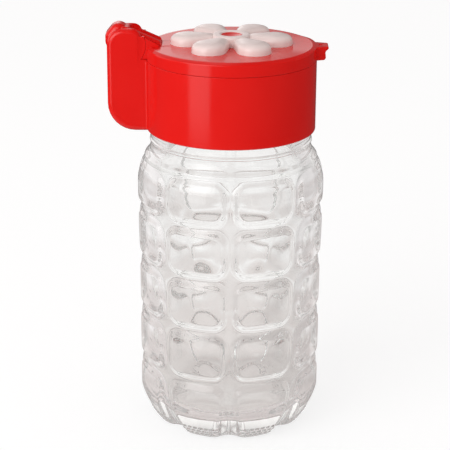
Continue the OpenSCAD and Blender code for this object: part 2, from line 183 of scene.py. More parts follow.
def pressed(angle, r, z):
    """Presses the grooves, foot notches, dots, bead and thread into the outside. The inside bulges softly with
    the pillows, and has slow press waves."""
    outside = np.arange(len(r))[:, None] < len(jar_outside) - 1
    column_turn = np.abs((angle + COLUMN_STEP / 2) % COLUMN_STEP - COLUMN_STEP / 2)
    to_column = column_turn * r
    to_ring = np.min([np.abs(z - h) for h in ROW_EDGES], axis=0)
    low_share = smooth((ROW_EDGES[1] - z) / ROW_EDGES[1])
    column_half = GROOVE_HALF_W + (NOTCH_HALF_W - GROOVE_HALF_W) * low_share
    out_across = PILLOW_CORNER_R + column_half - to_column
    out_up = PILLOW_CORNER_R + GROOVE_HALF_W - to_ring
    past_edge = np.hypot(np.maximum(out_across, 0), np.maximum(out_up, 0)) - PILLOW_CORNER_R
    past_edge = past_edge + np.minimum(np.maximum(out_across, out_up), 0)
    share = past_edge / column_half
    hollow = np.where(share > 0, 1 - (1 - np.clip(share, 0, 1)) ** 2, 2 * share)
    eased_in = np.clip(hollow + EDGE_SOFTNESS, 0, 2 * EDGE_SOFTNESS) ** 2 / (4 * EDGE_SOFTNESS)
    hollow = np.where(hollow > EDGE_SOFTNESS, hollow, eased_in)
    top_share = smooth((z - TOP_GROOVE_FROM) / (TOP_GROOVE_TO - TOP_GROOVE_FROM))
    depth = GROOVE_DEPTH + (NOTCH_DEPTH - GROOVE_DEPTH) * low_share - GROOVE_DEPTH * TOP_GROOVE_SHARE * top_share
    across_share, up_share = 1 - column_turn / (COLUMN_STEP / 2), np.clip(1 - to_ring / ROW_HALF_H, 0, 1)
    crown = PILLOW_CROWN * (1 - across_share ** 2) * (1 - up_share ** 2) * (1 - top_share)
    crown = crown * smooth((z - CROWN_FROM_Z) / CROWN_EASE)
    groove = hollow * depth
    on_wall = np.where(z <= FOOT_Z, (r / FOOT_R) ** 3, 1) * smooth((TOP_GROOVE_TO - z) / GROOVE_END_EASE)
    inside_groove = INSIDE_RIB * (1 - smooth(1 - across_share) * smooth(1 - up_share))
    bead = BEAD_H * np.clip(1 - ((z - BEAD_Z) / BEAD_HALF_W) ** 2, 0, 1)

    def dots(place, rows):
        """Round bumps in staggered rows, 1 high."""
        around = [smooth(np.cos(angle * STIPPLE_COUNT + i * math.pi)) for i in range(len(rows))]
        across = [smooth(1 - np.abs(place - row) / DOT_HALF_W) for row in rows]
        return np.sum([a * b for a, b in zip(across, around)], axis=0)

    stipple = STIPPLE_H * dots(r, STIPPLE_ROWS) * (z < FOOT_Z + 0.01)
    heel_dots = STIPPLE_H * dots(z, HEEL_DOT_ROWS) * smooth(1 - groove)

    turn = angle / (2 * math.pi)
    off_thread = np.abs(z - THREAD_START_Z - THREAD_PITCH * turn)
    flank = (THREAD_ROOT_HALF_W - off_thread) / (THREAD_ROOT_HALF_W - THREAD_CREST_HALF_W)
    thread = THREAD_REACH * np.clip(flank, 0, 1) * np.clip(np.minimum(turn, 1 - turn) / THREAD_FADE, 0, 1)

    slow_wave = np.sin(3 * angle + 0.7 + z / 9) * np.sin(z / 6.5 + 1.1)
    slow_wave = slow_wave + np.sin(5 * angle - z / 5.5) * np.cos(z / 8 + 2 * angle)
    quick_wave = np.sin(9 * angle + 1.5 * np.sin(z / 7)) * np.sin(z / 2.2 - 4 * angle + 0.4)
    wave = WAVE_DEPTHS[0] * slow_wave + WAVE_DEPTHS[1] * quick_wave
    on_hollow = smooth((z - INSIDE_FROM_Z) / INSIDE_EASE) * smooth((HOLLOW_TOP_Z - z) / INSIDE_EASE)
    on_hollow = on_hollow * (r > HOLLOW_R - 0.5)
    outside_r = r + (crown - groove) * on_wall + heel_dots + bead + thread
    inside_r = r + (wave - inside_groove) * on_hollow
    return np.where(outside, outside_r, inside_r), np.where(outside, z - stipple, z)


jar_inside = mouth + neck_ease + hollow_wall + hollow_bottom
jar = turned("glass_jar_pressed", jar_outside + rim + jar_inside, jar_angles, pressed)
smooth_with_creases(jar, 45)


def linear(hex_colour):
    """An sRGB hex colour as linear RGBA."""
    channels = [int(hex_colour[i:i + 2], 16) / 255 for i in (1, 3, 5)]
    return tuple(c / 12.92 if c <= 0.04045 else ((c + 0.055) / 1.055) ** 2.4 for c in channels) + (1.0,)


def add_node(tree, kind, values={}, links={}, **settings):
    """Adds a node with its settings, its sockets' values and its links from other nodes' outputs."""
    node = tree.nodes.new(kind)
    for name, value in settings.items():
        setattr(node, name, value)
    for socket, value in values.items():
        node.inputs[socket].default_value = value
    for socket, source in links.items():
        tree.links.new(source, node.inputs[socket])
    return node


def new_material(name):
    """An empty material, with its tree, its object coordinates in metres and its output."""
    material = bpy.data.materials.new(name)
    material.use_nodes = True
    material.node_tree.nodes.clear()
    place = add_node(material.node_tree, "ShaderNodeTexCoord").outputs["Object"]
    return material, material.node_tree, place, add_node(material.node_tree, "ShaderNodeOutputMaterial")


# Pressed soda-lime glass, fire polished: clear and bright, with slow press waves a few millimetres long
# that bend what shows through, and a thin grey-green body colour.
PRESS_WAVE_MM = 7
glass, tree, place, out = new_material("pressed_soda_lime_glass")
press_wave = add_node(tree, "ShaderNodeTexNoise",
                      {"Scale": 1 / (PRESS_WAVE_MM * MM), "Detail": 1.0, "Roughness": 0.4}, {"Vector": place})
press_bump = add_node(tree, "ShaderNodeBump", {"Strength": 0.5, "Distance": 0.04 * MM},
                      {"Height": press_wave.outputs["Fac"]})
polish = add_node(tree, "ShaderNodeMapRange", {"To Min": 0.0, "To Max": 0.03}, {"Value": press_wave.outputs["Fac"]})
shader = add_node(
    tree, "ShaderNodeBsdfPrincipled",
    {"Base Color": linear("#F8FAF9"), "Transmission Weight": 1.0, "IOR": 1.52},
    {"Roughness": polish.outputs["Result"], "Normal": press_bump.outputs["Normal"]})
tree.links.new(shader.outputs["BSDF"], out.inputs["Surface"])
jar.data.materials.append(glass)
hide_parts("glass_jar")
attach(jar, "jar")

# Cap liner
# A soft polyethylene ring that seals the jar's rim against the cap's deck. It is moulded with a rounded
# edge and a shallow sealing groove, and drops into the cap before the cap is screwed on.
LINER_IN_R, LINER_OUT_R, LINER_Z, LINER_T = 17.6, 20.75, 98.6, 1.0
LINER_GROOVE, LINER_AROUND = (0.5, 0.12), 160


def ring_of(name, section, around):
    """A closed ring turned round Z from a closed (r, z) section."""
    angle = evenly(around)
    section = np.array(section)
    r, z = section[:, :1], section[:, 1:]
    rings = np.stack([r * np.cos(angle), r * np.sin(angle), z + 0 * angle], axis=-1)
    count = len(section)
    faces = [(i * around + j, i * around + (j + 1) % around,
              (i + 1) % count * around + (j + 1) % around, (i + 1) % count * around + j)
             for i in range(count) for j in range(around)]
    return add_piece(name, rings.reshape(-1, 3), faces)


liner_half = LINER_T / 2
liner_mid_z = LINER_Z + liner_half
liner_section = arc((LINER_OUT_R - liner_half, liner_mid_z), (liner_half, liner_half), -90, 90, 9)
liner_section += arc((LINER_IN_R + liner_half, liner_mid_z), (liner_half, liner_half), 90, 270, 9)
liner_section += arc((NECK_R - rim_half, LINER_Z), LINER_GROOVE, 180, 0, 7)
liner = ring_of("cap_liner_moulded", liner_section, LINER_AROUND)
smooth_with_creases(liner)

# Soft low-density polyethylene, moulded: milky and waxy, faintly clouded over a few millimetres.
LINER_CLOUD_MM = 3
soft_plastic, tree, place, out = new_material("moulded_polyethylene")
cloud = add_node(tree, "ShaderNodeTexNoise", {"Scale": 1 / (LINER_CLOUD_MM * MM), "Detail": 3.0}, {"Vector": place})
cloud_colour = add_node(tree, "ShaderNodeMix", {"A": linear("#EFECE2"), "B": linear("#F8F6F0")},
                        {"Factor": cloud.outputs["Fac"]}, data_type="RGBA")
shader = add_node(tree, "ShaderNodeBsdfPrincipled", {"Roughness": 0.5, "IOR": 1.51},
                  {"Base Color": cloud_colour.outputs["Result"]})
tree.links.new(shader.outputs["BSDF"], out.inputs["Surface"])
liner.data.materials.append(soft_plastic)
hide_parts("cap_liner")
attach(liner, "liner")

# Screw cap
# A red moulded polypropylene cap: a thin wall with a thread inside, a deck with sprinkling holes, a raised ring
# that the lid closes over, and a hollow bracket whose two cheeks, webbed to the cap, hold the lid's trunnions.
CAP_R, CAP_Z, CAP_TOP_Z = 22.5, 83.0, 101.9
BORE_R, DECK_Z = 21.55, 99.7
RAISED_RING = (18.0, 19.2, 103.1)
CAP_AROUND = 288
CAP_THREAD_START_Z, CAP_THREAD_REACH, CAP_THREAD_ROWS = 87.9, 1.35, (93.6, 86.2, -0.2)
SPRINKLE_R, SPRINKLE_HOLE_R, SPRINKLE_COUNT = 6, 1.2, 6
CHEEK_OUT, CHEEK_IN, CHEEK_EDGE = 4.75, 3.3, 1.2
CREASE_R, CREASE_IN_X, CREASE_IN_Y = 0.7, -21.7, 4.5
BRACKET_REACH, BRACKET_TOP_Z, BRACKET_NECK_X = 32.5, 110.2, 23.5
BRACKET_IN_X, BRACKET_STEP_Z = -16, 100.9
SLOT_FLOOR_Z, SLOT_ROOT_X, SLOT_END_X = 99.5, -26.3, -21.9
CORE_X, CORE_TOP_Z = (-30.9, -22.6), 97.9
SILL_X, SILL_TOP_Z = (-25, -21.8), 102.33
PIVOT = (-28.0, 106.0)
SOCKET_R, SOCKET_REACH = 1.55, 4.25
WEB_R, WEB_IN, WEB_OUT = 5.7, 3.4, 4.6
SUPPORT = 0.1
BELOW_Z, ABOVE_Z = 70, 120


def rounded(corners, closed=True):
    """Outline points for corners (across, up, radius): an arc at each, with a support point close beside it."""
    places = [Vector(c[:2]) for c in corners]
    ends = () if closed else (0, len(corners) - 1)
    before = [(places[i - 1] - place).normalized() for i, place in enumerate(places)]
    after = [(places[(i + 1) % len(places)] - place).normalized() for i, place in enumerate(places)]
    half = [b.angle(a) / 2 for b, a in zip(before, after)]
    radii = [0 if i in ends else c[2] for i, c in enumerate(corners)]
    reach = [r / math.tan(h) if r else 0 for r, h in zip(radii, half)]
    points = []
    for i, corner in enumerate(places):
        if not radii[i]:
            points.append(tuple(corner))
            continue
        following = (i + 1) % len(places)
        room_before = (places[i - 1] - corner).length - reach[i - 1] - reach[i]
        room_after = (places[following] - corner).length - reach[following] - reach[i]
        middle = corner + (before[i] + after[i]).normalized() * (radii[i] / math.sin(half[i]))
        start = corner + before[i] * reach[i] - middle
        sweep = (math.pi - 2 * half[i]) * math.copysign(1, after[i].cross(before[i]))
        steps = max(2, math.ceil(abs(math.degrees(sweep)) / 12))
        points.append(tuple(corner + before[i] * (reach[i] + min(SUPPORT, room_before / 3))))
        points += [tuple(middle + Matrix.Rotation(sweep * k / steps, 2) @ start) for k in range(steps + 1)]
        points.append(tuple(corner + after[i] * (reach[i] + min(SUPPORT, room_after / 3))))
    return points


def face_outward(piece):
    """Turns every face of a closed form outward."""
    form = bmesh.new()
    form.from_mesh(piece.data)
    bmesh.ops.recalc_face_normals(form, faces=form.faces)
    form.to_mesh(piece.data)
    form.free()
    return piece


def slab(name, outline, low, high, edge, axis="Y"):
    """A closed slab: an outline run from low to high along Y, or along Z, with its long edges rounded."""
    outline = np.array(outline)
    ahead, behind = np.roll(outline, -1, axis=0) - outline, outline - np.roll(outline, 1, axis=0)
    ahead /= np.linalg.norm(ahead, axis=1)[:, None]
    behind /= np.linalg.norm(behind, axis=1)[:, None]
    area = np.sum(outline[:, 0] * np.roll(outline[:, 1], -1) - np.roll(outline[:, 0], -1) * outline[:, 1])
    inward = np.stack([-(ahead + behind)[:, 1], (ahead + behind)[:, 0]], axis=1) * math.copysign(1, area)
    inward /= (1 + np.sum(ahead * behind, axis=1))[:, None]
    turns = np.radians(np.linspace(0, 90, 6))
    inset = np.concatenate([[edge + SUPPORT], edge * (1 - np.sin(turns)), [0]])
    rise = np.concatenate([[0], edge * (1 - np.cos(turns)), [edge + SUPPORT]])
    levels = [(i, low + s) for i, s in zip(inset, rise)]
    levels += [(i, high - s) for i, s in zip(inset[::-1], rise[::-1])]
    count = len(outline)
    points = []
    for i, level in levels:
        flat = outline + inward * i
        points += [(a, level, b) if axis == "Y" else (a, b, level) for a, b in flat]
    faces = [(i * count + j, i * count + (j + 1) % count, (i + 1) * count + (j + 1) % count, (i + 1) * count + j)
             for i in range(len(levels) - 1) for j in range(count)]
    faces += [tuple(range(count)), tuple(range((len(levels) - 1) * count, len(levels) * count))]
    return face_outward(add_piece(name, points, faces))


def block(name, low, high):
    """A plain box for cutting, from its low to its high corner."""
    outline = [(low[0], low[2]), (high[0], low[2]), (high[0], high[2]), (low[0], high[2])]
    return slab(name, outline, low[1], high[1], 0.001)


def round_bar(name, centre, radius, low, high, edge, axis="Y", sides=48):
    """A round bar along Y or Z, with rounded ends."""
    return slab(name, arc(centre, (radius, radius), 0, 360 * (1 - 1 / sides), sides), low, high, edge, axis)


def combine(piece, other, how):
    """Joins another form to the piece or cuts it away, and removes the other form."""
    change = piece.modifiers.new("combine", "BOOLEAN")
    change.operation, change.solver, change.object = how, "EXACT", other
    shown = piece.evaluated_get(bpy.context.evaluated_depsgraph_get())
    mesh = bpy.data.meshes.new_from_object(shown)
    piece.modifiers.clear()
    piece.data = mesh
    bpy.data.objects.remove(other)


ring_in_r, ring_out_r, ring_top_z = RAISED_RING
cap_outline = rounded([
    (0, DECK_Z, 0), (BORE_R, DECK_Z, 0.5), (BORE_R, CAP_Z, 0.25), (CAP_R, CAP_Z, 0.45), (CAP_R, CAP_TOP_Z, 0.12),
    (ring_out_r, CAP_TOP_Z, 0.3), (ring_out_r, ring_top_z, 0.35), (ring_in_r, ring_top_z, 0.35),
    (ring_in_r, CAP_TOP_Z, 0.3), (0, CAP_TOP_Z, 0)], closed=False)
bore_start = next(i for i, p in enumerate(cap_outline) if abs(p[0] - BORE_R) < 1e-6)
bore_rings = [(BORE_R, z) for z in np.arange(*CAP_THREAD_ROWS)]
cap_outline[bore_start + 2:bore_start + 2] = bore_rings
bore_rows = range(bore_start + 1, bore_start + 1 + len(bore_rings))


def cap_thread(angle, r, z):
    """Raises the thread inside the bore."""
    turn = angle / (2 * math.pi)
    off_thread = np.abs(z - CAP_THREAD_START_Z - THREAD_PITCH * turn)
    flank = (THREAD_ROOT_HALF_W - off_thread) / (THREAD_ROOT_HALF_W - THREAD_CREST_HALF_W)
    ridge = CAP_THREAD_REACH * np.clip(flank, 0, 1) * np.clip(np.minimum(turn, 1 - turn) / THREAD_FADE, 0, 1)
    in_bore = np.isin(np.arange(len(r)), list(bore_rows))[:, None]
    return r - ridge * in_bore, z


cap = turned("screw_cap_moulded", cap_outline, evenly(CAP_AROUND), cap_thread)
bracket_corners = [
    (BRACKET_IN_X, CAP_Z, 0), (BRACKET_IN_X, BRACKET_STEP_Z, 0), (-BRACKET_NECK_X, BRACKET_STEP_Z, 0.5),
    (-BRACKET_NECK_X, BRACKET_TOP_Z, 2.5), (-BRACKET_REACH, BRACKET_TOP_Z, 4.3), (-BRACKET_REACH, CAP_Z, 7.3)]
bracket = slab("bracket", rounded(bracket_corners), -CHEEK_OUT, CHEEK_OUT, CHEEK_EDGE)
combine(bracket, round_bar("inside", (0, 0), CAP_R - 0.4, BELOW_Z, 102, 0.01, "Z", CAP_AROUND), "DIFFERENCE")
combine(bracket, block("slot", (-40, -CHEEK_IN, SLOT_FLOOR_Z), (SLOT_ROOT_X, CHEEK_IN, ABOVE_Z)), "DIFFERENCE")
arm_way = block("arm_way", (SLOT_ROOT_X - 0.5, -CHEEK_IN, CAP_TOP_Z), (-10, CHEEK_IN, ABOVE_Z))
combine(bracket, arm_way, "DIFFERENCE")
core = block("core", (CORE_X[0], -CHEEK_IN, BELOW_Z), (CORE_X[1], CHEEK_IN, CORE_TOP_Z))
combine(bracket, core, "DIFFERENCE")
web = arc(PIVOT, (WEB_R, WEB_R), -40, 24, 17)
web += [(SILL_X[0], web[-1][1]), (SILL_X[0], 101), (web[0][0], 101)]
combine(bracket, slab("near_web", web, -WEB_OUT, -WEB_IN, 0.1), "UNION")
combine(bracket, slab("far_web", web, WEB_IN, WEB_OUT, 0.1), "UNION")
combine(bracket, round_bar("sockets", PIVOT, SOCKET_R, -SOCKET_REACH, SOCKET_REACH, 0.05), "DIFFERENCE")
slot_floor = block("floor", (SILL_X[0], -CHEEK_IN - 0.2, 99), (SLOT_END_X, CHEEK_IN + 0.2, 101.6))
combine(bracket, slot_floor, "UNION")
sill = block("sill", (SILL_X[0], -WEB_OUT - 0.1, SLOT_FLOOR_Z), (SILL_X[1], WEB_OUT + 0.1, SILL_TOP_Z))
combine(bracket, sill, "UNION")
lid_way = round_bar("lid_way", (0, 0), CAP_R + 0.08, CAP_TOP_Z - 0.05, ABOVE_Z, 0.01, "Z", CAP_AROUND)
combine(bracket, lid_way, "DIFFERENCE")
combine(cap, bracket, "UNION")
crease_y = CHEEK_OUT + CREASE_R
crease_x = -math.sqrt((CAP_R + CREASE_R) ** 2 - crease_y ** 2)
crease_end = math.degrees(math.atan2(crease_y, -crease_x))
for side in (-1, 1):
    crease = [(a, b * side) for a, b in arc((crease_x, -crease_y), (CREASE_R, CREASE_R), 90, crease_end, 8)]
    crease += [(CREASE_IN_X, -crease_y * 0.97 * side), (CREASE_IN_X, -CREASE_IN_Y * side),
               (crease_x, -CREASE_IN_Y * side)]
    combine(cap, slab("crease", crease, CAP_Z + 0.5, CAP_TOP_Z - 0.1, 0.02, "Z"), "UNION")
sprinkle_places = [(0, 0)] + [(SPRINKLE_R * math.cos(a), SPRINKLE_R * math.sin(a))
                              for a in np.arange(SPRINKLE_COUNT) * 2 * math.pi / SPRINKLE_COUNT]
for place in sprinkle_places:
    sprinkle = round_bar("sprinkle", place, SPRINKLE_HOLE_R, DECK_Z - 1, CAP_TOP_Z + 1, 0.05, "Z", 32)
    combine(cap, sprinkle, "DIFFERENCE")
smooth_with_creases(cap)

# Polypropylene coloured in the mass, injection moulded in a polished mould: a full warm red with a soft gloss,
# slightly uneven over a centimetre, with a fine skin of flow ripples.
RED_DRIFT_MM, RED_RIPPLE_MM = 14, 0.5
red_plastic, tree, place, out = new_material("moulded_red_polypropylene")
drift = add_node(tree, "ShaderNodeTexNoise", {"Scale": 1 / (RED_DRIFT_MM * MM), "Detail": 2.0},
                 {"Vector": place})
ripple = add_node(tree, "ShaderNodeTexNoise", {"Scale": 1 / (RED_RIPPLE_MM * MM), "Detail": 2.0},
                  {"Vector": place})
red_colour = add_node(tree, "ShaderNodeMix", {"A": linear("#E0120E"), "B": linear("#E81913")},
                      {"Factor": drift.outputs["Fac"]}, data_type="RGBA")
gloss = add_node(tree, "ShaderNodeMapRange", {"To Min": 0.12, "To Max": 0.2}, {"Value": drift.outputs["Fac"]})
skin = add_node(tree, "ShaderNodeBump", {"Strength": 0.25, "Distance": 0.006 * MM},
                {"Height": ripple.outputs["Fac"]})
shader = add_node(tree, "ShaderNodeBsdfPrincipled", {"IOR": 1.49},
                  {"Base Color": red_colour.outputs["Result"], "Roughness": gloss.outputs["Result"],
                   "Normal": skin.outputs["Normal"]})
tree.links.new(shader.outputs["BSDF"], out.inputs["Surface"])
cap.data.materials.clear()
cap.data.materials.append(red_plastic)
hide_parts("screw_cap")
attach(cap, "cap")

# Flip lid
# A red lid of the same plastic: a shallow bevelled disc with a stud for the daisy, a lifting tab, and a lever
# with a thumb pad and two trunnions, which snap into the cheeks. Its shoulders sweep round the cap's webs.
LID_R, LID_Z, LID_TOP_Z, LID_WALL = 22.5, 101.98, 105.6, 1.8
LID_FLAT_R, LID_BEVEL_DROP = 21.3, 0.5
STUD_R, STUD_TOP_Z, STUD_DISH = 2.75, 108.15, 0.6
LEVER_HALF_W, RIB_T, LEVER_EDGE = 3.0, 1.1, 0.55
CHANNEL_DEPTH, KNOB_R, KNOB_EDGE, KNOB_HALF_W = 0.42, 1.85, 1.6, 3.05
TRUNNION_R, TRUNNION_REACH = 1.5, 4.1
TAB_REACH, TAB_TOP_Z, TAB_HOLE = 25.4, 105.5, (23.3, 0.6)
TAB_ROOT_HALF_W, TAB_TIP_HALF_W, TAB_RUN_OUT = 3.4, 2.4, (36, 17)
CHANNEL_HEAD_X = -26.6
SHOULDER_IN, SHOULDER_GAP, SHOULDER_X, SHOULDER_TIP_X = 2.8, 0.05, -20.9, -18.9
FLARE_TIP, FLARE_WIDE, FLARE_RIM_WIDE, FLARE_RIM = (-18.4, -2.6), (-19.4, -5.9), (-21.5, -5.9), (-22.2, -2.6)
FLARE_RISE, FLARE_SINK, FLARE_FOOT_Z = 2.2, 0.03, 104.3

lid_outline = rounded([
    (0, LID_TOP_Z - LID_WALL, 0), (LID_R - LID_WALL, LID_TOP_Z - LID_WALL, 0.4), (LID_R - LID_WALL, LID_Z, 0.2),
    (LID_R, LID_Z, 0.1), (LID_R, LID_TOP_Z - LID_BEVEL_DROP, 0.4), (LID_FLAT_R, LID_TOP_Z, 1.2),
    (STUD_R, LID_TOP_Z, 0.2), (STUD_R, STUD_TOP_Z, 0.15), (0, STUD_TOP_Z - STUD_DISH, 0)],
    closed=False)


def lid_rim(angle, r, z):
    """Runs the bevel out towards the tab, where the lid's top is flat up to its rim."""
    from_tab = np.abs((np.degrees(angle) + 180) % 360 - 180)
    flush = smooth((TAB_RUN_OUT[0] - from_tab) / (TAB_RUN_OUT[0] - TAB_RUN_OUT[1]))
    share = np.clip((r - LID_FLAT_R + 0.5) / (LID_R - LID_FLAT_R + 0.5), 0, 1)
    share = share * (z > LID_TOP_Z - LID_BEVEL_DROP - 0.5)
    return r, z + flush * share * (LID_BEVEL_DROP - 0.12)


lid = turned("flip_lid_moulded", lid_outline, evenly(CAP_AROUND), lid_rim)
arm_foot, arm_head = (-18.7, 106.75), (-26.9, 110.3)
lever_corners = [
    (-17.9, 105.0, 0), (*arm_foot, 0.9), (*arm_head, 1.0), (-28.6, 110.6, 0.9), (-31.4, 108.4, 0.9),
    (-31.4, 104.6, 0.9), (-28.2, 102.4, 1.2), (-21.6, 102.4, 0), (-21.6, 105.0, 0)]
lever = slab("lever", rounded(lever_corners), -LEVER_HALF_W, LEVER_HALF_W, LEVER_EDGE)
knob_corners = [(-27.2, 107.6), (-27.4, 110.7), (-29.6, 111.3), (-31.0, 110.8), (-33.0, 108.4), (-33.0, 105.4),
                (-30.6, 103.9)]
knob_outline = rounded([(*corner, KNOB_R) for corner in knob_corners])
combine(lever, slab("knob", knob_outline, -KNOB_HALF_W, KNOB_HALF_W, KNOB_EDGE), "UNION")
arm_slope = (arm_head[1] - arm_foot[1]) / (arm_head[0] - arm_foot[0])
channel = [(x, arm_foot[1] + arm_slope * (x - arm_foot[0]) - CHANNEL_DEPTH) for x in (CHANNEL_HEAD_X, -10)]
channel += [(-10, ABOVE_Z), (CHANNEL_HEAD_X, ABOVE_Z)]
channel_half = LEVER_HALF_W - RIB_T
combine(lever, slab("channel", channel, -channel_half, channel_half, 0.05), "DIFFERENCE")
combine(lever, round_bar("trunnions", PIVOT, TRUNNION_R, -TRUNNION_REACH, TRUNNION_REACH, 0.25), "UNION")
combine(lid, lever, "UNION")
shoulder_outline = arc(PIVOT, (WEB_R + SHOULDER_GAP, WEB_R + SHOULDER_GAP), 20, -38, 15)
shoulder_outline += [(SHOULDER_X, shoulder_outline[-1][1]), (SHOULDER_X, 105.2), (SHOULDER_TIP_X, 105.2),
                     (SHOULDER_TIP_X, 106.0)]
combine(lid, slab("near_shoulder", shoulder_outline, -WEB_OUT, -SHOULDER_IN, 0.05), "UNION")
combine(lid, slab("far_shoulder", shoulder_outline, SHOULDER_IN, WEB_OUT, 0.05), "UNION")


def patch_block(name, top, foot_z):
    """A closed block under a grid of points, with a level foot."""
    rows, columns = top.shape[:2]
    foot = top.copy()
    foot[:, :, 2] = foot_z
    points = np.concatenate([top.reshape(-1, 3), foot.reshape(-1, 3)])
    under = rows * columns
    faces = []
    for i in range(rows - 1):
        for j in range(columns - 1):
            quad = [i * columns + j, i * columns + j + 1, (i + 1) * columns + j + 1, (i + 1) * columns + j]
            faces += [tuple(quad), tuple(q + under for q in reversed(quad))]
    border = list(range(columns)) + [i * columns + columns - 1 for i in range(1, rows)]
    border += [(rows - 1) * columns + j for j in reversed(range(columns - 1))]
    border += [i * columns for i in reversed(range(1, rows - 1))]
    faces += [(b, a, a + under, b + under) for a, b in zip(border, border[1:] + border[:1])]
    return face_outward(add_piece(name, points, faces))


out_share, rim_share = np.meshgrid(np.linspace(0, 1, 15), np.linspace(0, 1, 11))
flare = sum(np.array(corner) * weight[:, :, None] for corner, weight in (
    (FLARE_TIP, (1 - out_share) * (1 - rim_share)), (FLARE_WIDE, out_share * (1 - rim_share)),
    (FLARE_RIM_WIDE, out_share * rim_share), (FLARE_RIM, (1 - out_share) * rim_share)))
flare_r = np.hypot(flare[:, :, 0], flare[:, :, 1])
lid_surface = LID_TOP_Z - LID_BEVEL_DROP * np.clip((flare_r - LID_FLAT_R) / (LID_R - LID_FLAT_R), 0, 1)
flare_z = lid_surface - FLARE_SINK + FLARE_RISE * rim_share * (1 - out_share) ** 2
for side in (1, -1):
    top = np.stack([flare[:, :, 0], flare[:, :, 1] * side, flare_z], axis=-1)
    combine(lid, patch_block("flare", top, FLARE_FOOT_Z), "UNION")
tab_corners = [(21.2, LID_Z, 0), (24.8, LID_Z, 0.7), (24.55, 104.2, 0.8), (TAB_REACH, 104.9, 0.35),
               (TAB_REACH, TAB_TOP_Z, 0.25), (21.2, TAB_TOP_Z, 0)]
tab = slab("tab", rounded(tab_corners), -1, 1, 0.12)
for point in tab.data.vertices:
    along = (point.co.x / MM - LID_R) / (TAB_REACH - LID_R)
    point.co.y *= TAB_ROOT_HALF_W + (TAB_TIP_HALF_W - TAB_ROOT_HALF_W) * along
combine(tab, round_bar("tab_hole", (TAB_HOLE[0], 0), TAB_HOLE[1], 100, 110, 0.05, "Z", 24), "DIFFERENCE")
combine(lid, tab, "UNION")
smooth_with_creases(lid)
lid.data.materials.clear()
lid.data.materials.append(red_plastic)
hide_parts("flip_lid")
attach(lid, "lid")

# Daisy
# A white flower moulded in one piece of polystyrene: six plump domed petals round a ring, which is pressed over
# the lid's red stud so that the stud's top shows as the flower's eye.
PETAL_COUNT, PETAL_TIP_X, PETAL_TIP_R, PETAL_ROOT_X, PETAL_ROOT_R, PETAL_TOP_X = 6, 11.6, 4.45, 5.0, 2.1, 10.6
PETAL_H, PETAL_SIDE_POWER, PETAL_RINGS = 2.8, 3.6, 18
DAISY_RING_R, DAISY_RING_TOP_Z, DAISY_BORE_R, DAISY_AROUND = 5.1, 108.3, 2.78, 96
lean = math.degrees(math.acos((PETAL_TIP_R - PETAL_ROOT_R) / (PETAL_TIP_X - PETAL_ROOT_X)))
petal_outline = arc((PETAL_TIP_X, 0), (PETAL_TIP_R, PETAL_TIP_R), -(180 - lean), 180 - lean, 49)
petal_outline += arc((PETAL_ROOT_X, 0), (PETAL_ROOT_R, PETAL_ROOT_R), 180 - lean, 180 + lean, 17)
petal_outline = np.array(petal_outline)
petal_middle = np.array([PETAL_TOP_X, 0])


def petal(name, turn):
    """One domed petal with steep sides, turned about the daisy's middle."""
    shares = np.cos(np.linspace(0, math.pi / 2, PETAL_RINGS))[:-1]
    heights = PETAL_H * (1 - shares ** PETAL_SIDE_POWER) ** (1 / PETAL_SIDE_POWER)
    plan = [petal_middle + (petal_outline - petal_middle) * s for s in shares]
    levels = [np.column_stack([p, np.full(len(p), LID_TOP_Z + h)]) for p, h in zip(plan, heights)]
    points = np.concatenate(levels + [[(*petal_middle, LID_TOP_Z + PETAL_H)]])
    count, last = len(petal_outline), len(points) - 1
    faces = [(i * count + j, i * count + (j + 1) % count, (i + 1) * count + (j + 1) % count, (i + 1) * count + j)
             for i in range(len(levels) - 1) for j in range(count)]
    faces += [(last - count + j, last - count + (j + 1) % count, last) for j in range(count)]
    faces.append(tuple(reversed(range(count))))
    piece = add_piece(name, points, faces)
    piece.data.transform(Matrix.Rotation(turn, 4, "Z"))
    return piece


daisy = ring_of("daisy_moulded", rounded([
    (DAISY_BORE_R, LID_TOP_Z, 0), (DAISY_RING_R, LID_TOP_Z, 0), (DAISY_RING_R, DAISY_RING_TOP_Z, 0.7),
    (DAISY_BORE_R, DAISY_RING_TOP_Z, 0.5)]), DAISY_AROUND)
for i in range(PETAL_COUNT):
    combine(daisy, petal(f"petal_{i}", 2 * math.pi * i / PETAL_COUNT), "UNION")
smooth_with_creases(daisy)

# Polystyrene pigmented white, injection moulded in a polished mould: clean warm white with a glossy skin,
# drifting a little in tone from petal to petal.
WHITE_DRIFT_MM, WHITE_RIPPLE_MM = 9, 0.7
white_plastic, tree, place, out = new_material("moulded_white_polystyrene")
drift = add_node(tree, "ShaderNodeTexNoise", {"Scale": 1 / (WHITE_DRIFT_MM * MM), "Detail": 2.0},
                 {"Vector": place})
ripple = add_node(tree, "ShaderNodeTexNoise", {"Scale": 1 / (WHITE_RIPPLE_MM * MM), "Detail": 1.0},
                  {"Vector": place})
white_colour = add_node(tree, "ShaderNodeMix", {"A": linear("#EEDAD6"), "B": linear("#F4E3DF")},
                        {"Factor": drift.outputs["Fac"]}, data_type="RGBA")
gloss = add_node(tree, "ShaderNodeMapRange", {"To Min": 0.18, "To Max": 0.28}, {"Value": drift.outputs["Fac"]})
skin = add_node(tree, "ShaderNodeBump", {"Strength": 0.2, "Distance": 0.006 * MM},
                {"Height": ripple.outputs["Fac"]})
shader = add_node(tree, "ShaderNodeBsdfPrincipled", {"IOR": 1.55},
                  {"Base Color": white_colour.outputs["Result"], "Roughness": gloss.outputs["Result"],
                   "Normal": skin.outputs["Normal"]})
tree.links.new(shader.outputs["BSDF"], out.inputs["Surface"])
daisy.data.materials.clear()
daisy.data.materials.append(white_plastic)
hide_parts("daisy")
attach(daisy, "lid")

